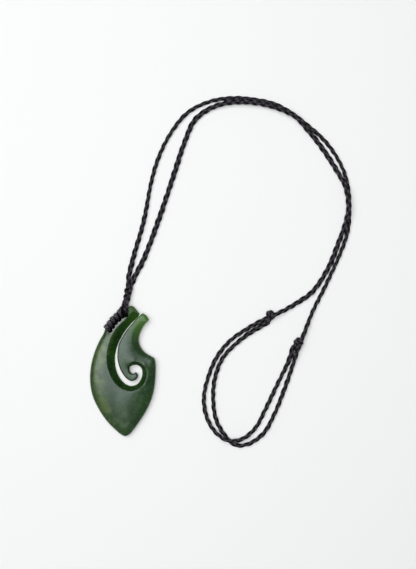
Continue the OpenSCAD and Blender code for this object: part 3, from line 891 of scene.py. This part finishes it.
# The lashing is a doubled thread, whose last turn is a lump. A lower layer, painted dark as shade,
# fills the gaps.
LASH_TURNS = 5
LASH_STARTS = 0.55 * MM
LASH_PITCH = 2.07 * MM
LASH_SLANT = 0.5 * MM
LASH_HALF_W = 0.36 * MM
LASH_LAY = 30 * MM
LUMP_REACH = 2 * MM
LUMP_SWELL = 0.12 * MM
LOWER_SUNK = 0.5 * MM
# The lower layer's painted shade, which makes it dark between the turns
LOWER_PAINTED_SHADE = 0.12
CORNER_STEPS = 7
BAR_CORNERS = [(-1, 1), (1, 1), (1, -1), (-1, -1)]

# How far out from the bar's corners the thread lies, how high its strands' middles reach, and their
# radius: at the bar's outer side, then what is added at its front, its inner side and its back
LASH_OUT = np.array([0.58, 0.18, -0.04, 0]) * MM
LASH_RISE = np.array([0.10, 0.06, -0.06, -0.07]) * MM
LASH_R = np.array([0.56, 0.05, -0.05, -0.11]) * MM

# Painted shade on the thread: its light at the middle of the bar, over how far towards the slit it
# falls by 1, and the least of it. At the back this share is taken off.
LASH_PAINTED_LIGHT = 0.80
LASH_SHADE_FADE = 2.3 * MM
LASH_DARKEST_SHADE = 0.05
LASH_BACK_SHADE = 0.7


def lashing_rows(turns, first_s, sunk, shade):
    """The thread round the bar, from under it to under it again.

    A row is a place, the way of the bar, and the rise, radius and painted light and shade of the
    strands.
    """
    rows = []
    for quarter in range(-1, 4 * turns - 1):
        side, level_sign = BAR_CORNERS[quarter % 4]
        s = first_s - (quarter + 1) // 4 * LASH_PITCH - side * LASH_SLANT / 2
        middle, way = on_bar(s), bar_dir(s)
        in_lump = max(0, 1 - max(0, s) / LUMP_REACH)
        for k in range(CORNER_STEPS):
            a = math.radians(90 * (quarter + k / (CORNER_STEPS - 1)))
            front, inner, back = max(0, math.sin(a)), max(0, -math.cos(a)), max(0, -math.sin(a))
            shares = np.array([1, front, inner, back])
            out = shares @ LASH_OUT - sunk
            across = side * BAR_W / 2 - out * math.cos(a)
            up = level_sign * BAR_HALF_H + out * math.sin(a)
            radius = shares @ LASH_R + LUMP_SWELL * in_lump * (1 - back)
            # Painted shade: the thread is darker towards the slit and at the back
            light = max(LASH_DARKEST_SHADE, min(1, LASH_PAINTED_LIGHT - across / LASH_SHADE_FADE))
            light *= (1 - LASH_BACK_SHADE * back) * shade
            place = middle - across * left_of(way)
            rows.append([*place, BAR_MID_Z + up, *way, shares @ LASH_RISE, radius, light])
    return resampled(np.array(rows), FINE_STEP)


def make_binding(finish):
    """Turns side by side, over a lower layer, painted dark as shade, that fills the gaps between them.
    """
    parts = []
    first_s = bar_length - LASH_STARTS
    for name, turns, s, sunk, shade in (
            ("turns", LASH_TURNS, first_s, 0, 1),
            ("lower_layer", LASH_TURNS - 1, first_s - LASH_PITCH / 2, LOWER_SUNK, LOWER_PAINTED_SHADE)):
        path = lashing_rows(turns, s, sunk, shade)
        wanted = np.column_stack([path[:, 3:5], np.zeros(len(path))])
        parts.append(braided(name, path, wanted, LASH_HALF_W, path[:, 5], path[:, 6], finish,
                             LASH_LAY, strands=2, weave=1, groove_shade=0.0, light=path[:, 7]))
    return joined("lashing", parts)


# The neck is one thick plait from the fork down to the stone. A row is a place, then how far its
# strands' middles reach to the sides and up.
NECK_ROWS = [
    (3.1, 37.0, 1.4, 0.30, 0.36), (2.95, 36.3, 1.6, 0.50, 0.50), (2.7, 35.5, 1.7, 0.92, 0.64),
    (2.35, 34.4, 1.8, 1.18, 0.70), (2.1, 33.1, 1.75, 0.80, 0.58), (1.9, 31.9, 1.9, 1.08, 0.66),
    (1.65, 30.7, 2.2, 0.80, 0.56), (1.35, 29.6, 2.8, 0.92, 0.58), (1.1, 28.6, 3.4, 0.66, 0.45)]
NECK_STRAND_R = 0.70 * MM
NECK_LAY = 8 * MM
NECK_LIGHT = 0.9

# The first stretches of the two cords, where they come out of the neck
LEFT_ROOT = [(2.5, 35.3, 1.45), (2.3, 36.4, 1.25), (2.35, 37.8, 1.05), (2.4, 38.8, 1)]
RIGHT_ROOT = [(2.9, 35.3, 1.45), (3.3, 36.6, 1.25), (4.0, 37.9, 1.05), (4.5, 38.8, 1)]

# Below it three thinner plaits go over the stone and round the bar, one between the others painted dark
# as shade
FRONT_LEG = [
    (1.7, 30.4, 2.6), (1.6, 29.0, 3.6), (1.5, 27.6, 4.6), (1.45, 26.4, 5.2), (1.4, 25.2, 5.4),
    (1.39, 24.35, 5.2), (1.39, 23.95, 4.5), (1.39, 23.9, 3.6), (1.39, 23.9, 2.5)]
MIDDLE_LEG = [
    (1.0, 28.8, 3.3), (0.65, 27.4, 4.1), (0.35, 26.3, 4.7), (0.25, 25.3, 4.95), (0.3, 24.4, 4.7),
    (0.4, 23.9, 3.9)]
SIDE_LEG = [
    (1.2, 30.4, 2.2), (0.85, 29.2, 2.7), (0.35, 28.0, 3.4), (-0.3, 26.9, 3.9), (-1.1, 25.9, 4.3),
    (-1.9, 25.0, 3.9)]
LEG_SIDE = 0.55 * MM
LEG_RISE = 0.36 * MM
LEG_STRAND_R = 0.50 * MM
LEG_LAY = 6 * MM
# Painted shade: the middle leg is dark as the shade between the other two
MIDDLE_LEG_PAINTED_SHADE = 0.25

# The legs are painted dark, as shade, over this stretch above the place where they go into the slit
LEG_SHADE_Y = 24.2 * MM
LEG_SHADE_FADE = 2 * MM
LEG_DARKEST_SHADE = 0.1


def make_neck(finish):
    """The thick plait, the roots of both cords and the legs."""
    parts = []
    rows = smooth_rows(np.array(NECK_ROWS) * MM, FINE_STEP)
    parts.append(braided("plait", rows, (-1, 0, 0), rows[:, 3], rows[:, 4], NECK_STRAND_R, finish,
                         NECK_LAY, light=NECK_LIGHT))
    for name, root in (("left_root", LEFT_ROOT), ("right_root", RIGHT_ROOT)):
        path = smooth_rows(np.array(root) * MM, CORD_STEP)
        parts.append(braided(name, path, level(path), *plait_sizes(START_SWELL), finish, CORD_LAY,
                             start=-lengths(path)[-1]))
    for name, leg, shade in (("front_leg", FRONT_LEG, 1), ("middle_leg", MIDDLE_LEG, MIDDLE_LEG_PAINTED_SHADE),
                             ("side_leg", SIDE_LEG, 1)):
        path = smooth_rows(np.array(leg) * MM, LEG_STEP)
        # Painted shade: the legs darken above the place where they go into the slit
        light = shade * np.clip((path[:, 1] - LEG_SHADE_Y) / LEG_SHADE_FADE, LEG_DARKEST_SHADE, 1)
        parts.append(braided(name, path, (-1, 0, 0), LEG_SIDE, LEG_RISE, LEG_STRAND_R, finish,
                             LEG_LAY, light=light))
    return joined("neck", parts)


# A knot's strands: how far their middles reach out from the knot and along it, and their radius
KNOT_RISE = 0.20 * MM
KNOT_SIDE = 0.34 * MM
KNOT_STRAND_R = 0.62 * MM

# Steps in a turn. How far out its first and last turn lie, as a share, and what the middle has more.
KNOT_STEPS = 24
KNOT_ENDS_OUT = 0.62
KNOT_BULGE = 0.46

# How far the bulk of each knot sits beside the cord that it slides on, and forward along it
UPPER_KNOT_SHIFT = (0.7 * MM, 0)
LOWER_KNOT_SHIFT = (0.8 * MM, 0.6 * MM)


def make_knot(name, slides_on, at, ends, start, finish, shift):
    """The end of one cord, wound round the other one."""
    centre = (slides_on[at] + slides_on[at + 1]) / 2
    axis = unit(slides_on[at + 1] - slides_on[at])
    side = np.cross(UP, axis)
    bulk = centre - shift[0] * side + shift[1] * axis
    end = ends[-1]
    way = 1 if (end - centre) @ axis > 0 else -1
    first = math.atan2((end - bulk) @ UP, (end - bulk) @ side)
    wound_r = KNOT_D / 2 - KNOT_RISE - KNOT_STRAND_R
    rows = [[*end, STRAND_SIDE, STRAND_RISE]]
    for k in range(KNOT_STEPS * KNOT_TURNS + 1):
        turned = k / KNOT_STEPS
        a = first - way * 2 * math.pi * turned
        out = math.cos(a) * side + math.sin(a) * UP
        forward = way * KNOT_PITCH * (turned - KNOT_TURNS / 2)
        share = KNOT_ENDS_OUT + KNOT_BULGE * math.sin(math.pi * turned / KNOT_TURNS)
        place = bulk + forward * axis + share * wound_r * out
        rows.append([*place, KNOT_SIDE, KNOT_RISE])
    rows = smooth_rows(rows, FINE_STEP)
    return braided(name, rows, axis, rows[:, 3], rows[:, 4], KNOT_STRAND_R, finish, CORD_LAY,
                   start=start)


def add_piece(piece, node):
    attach(piece, "root")
    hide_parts(node)


def make_camera():
    data = bpy.data.cameras.new("camera")
    data.lens = LENS
    data.sensor_width = SENSOR
    camera = bpy.data.objects.new("camera", data)
    camera.location = (*VIEW_CENTRE, VIEW_LEVEL + VIEW_HEIGHT * LENS / SENSOR)
    bpy.context.scene.collection.objects.link(camera)
    bpy.context.scene.camera = camera


def make_floor():
    half = TABLE_HALF
    corners = [(-half, -half, 0), (half, -half, 0), (half, half, 0), (-half, half, 0)]
    mesh = bpy.data.meshes.new("table")
    mesh.from_pydata(corners, [], [(0, 1, 2, 3)])
    mesh.materials.append(table_top())
    floor = bpy.data.objects.new("table", mesh)
    bpy.context.scene.collection.objects.link(floor)


def add_lamp(name, place, size, watts, colour):
    """A flat square lamp that faces down."""
    lamp = bpy.data.lights.new(name, "AREA")
    lamp.shape = "SQUARE"
    lamp.size = size
    lamp.energy = watts
    lamp.color = colour
    obj = bpy.data.objects.new(name, lamp)
    obj.location = place
    bpy.context.scene.collection.objects.link(obj)
    return obj


def make_light():
    """A dim pale room, a large lamp at the upper left, a smaller one overhead, and a gleam."""
    world = bpy.data.worlds.new("room")
    bpy.context.scene.world = world
    world.use_nodes = True
    tree = Tree(world.node_tree)
    background = world.node_tree.nodes["Background"]
    background.inputs["Color"].default_value = ROOM_COLOUR
    mirrored = tree.node("ShaderNodeLightPath", None, None, "Is Glossy Ray")
    tree.feed(background.inputs["Strength"], ROOM_LIGHT + (ROOM_SEEN - ROOM_LIGHT) * mirrored)
    softbox = add_lamp("softbox", SOFTBOX_AT, SOFTBOX_SIZE, SOFTBOX_WATTS, SOFTBOX_COLOUR)
    overhead = add_lamp("overhead", OVERHEAD_AT, OVERHEAD_SIZE, OVERHEAD_WATTS, OVERHEAD_COLOUR)
    softbox.visible_glossy = False
    overhead.visible_glossy = False
    gleam = add_lamp("gleam", GLEAM_AT, SOFTBOX_SIZE, SOFTBOX_WATTS, GLEAM_COLOUR)
    gleam.visible_diffuse = False


make_camera()
bpy.context.scene.view_settings.view_transform = "Standard"
make_floor()
make_light()

cord_finish = fibres("plaited_cord", *CORD_FIBRES)
thread_finish = fibres("lashing_thread", *LASHING_FIBRES)

outer, outer_path = make_cord("cord_outer_braid", OUTER_ROUTE, OUTER_SWELLS, OUTER_END_SWELL,
                              cord_finish)
inner, inner_path = make_cord("cord_inner_braid", INNER_ROUTE, INNER_SWELLS, INNER_END_SWELL,
                              cord_finish)
outer_length = float(lengths(outer_path)[-1])
inner_length = float(lengths(inner_path)[-1])
upper = make_knot("upper_sliding_knot", INNER_ROUTE, UPPER_KNOT_AT, OUTER_ROUTE, outer_length,
                  cord_finish, UPPER_KNOT_SHIFT)
lower = make_knot("lower_sliding_knot", OUTER_ROUTE, LOWER_KNOT_AT, INNER_ROUTE, inner_length,
                  cord_finish, LOWER_KNOT_SHIFT)
neck = make_neck(cord_finish)
lashing = make_binding(thread_finish)
hook = make_hook(greenstone())

add_piece(outer, "cord_outer")
add_piece(inner, "cord_inner")
add_piece(upper, "knot_upper")
add_piece(lower, "knot_lower")
add_piece(neck, "neck_plait")
add_piece(lashing, "binding")
add_piece(hook, "hook")
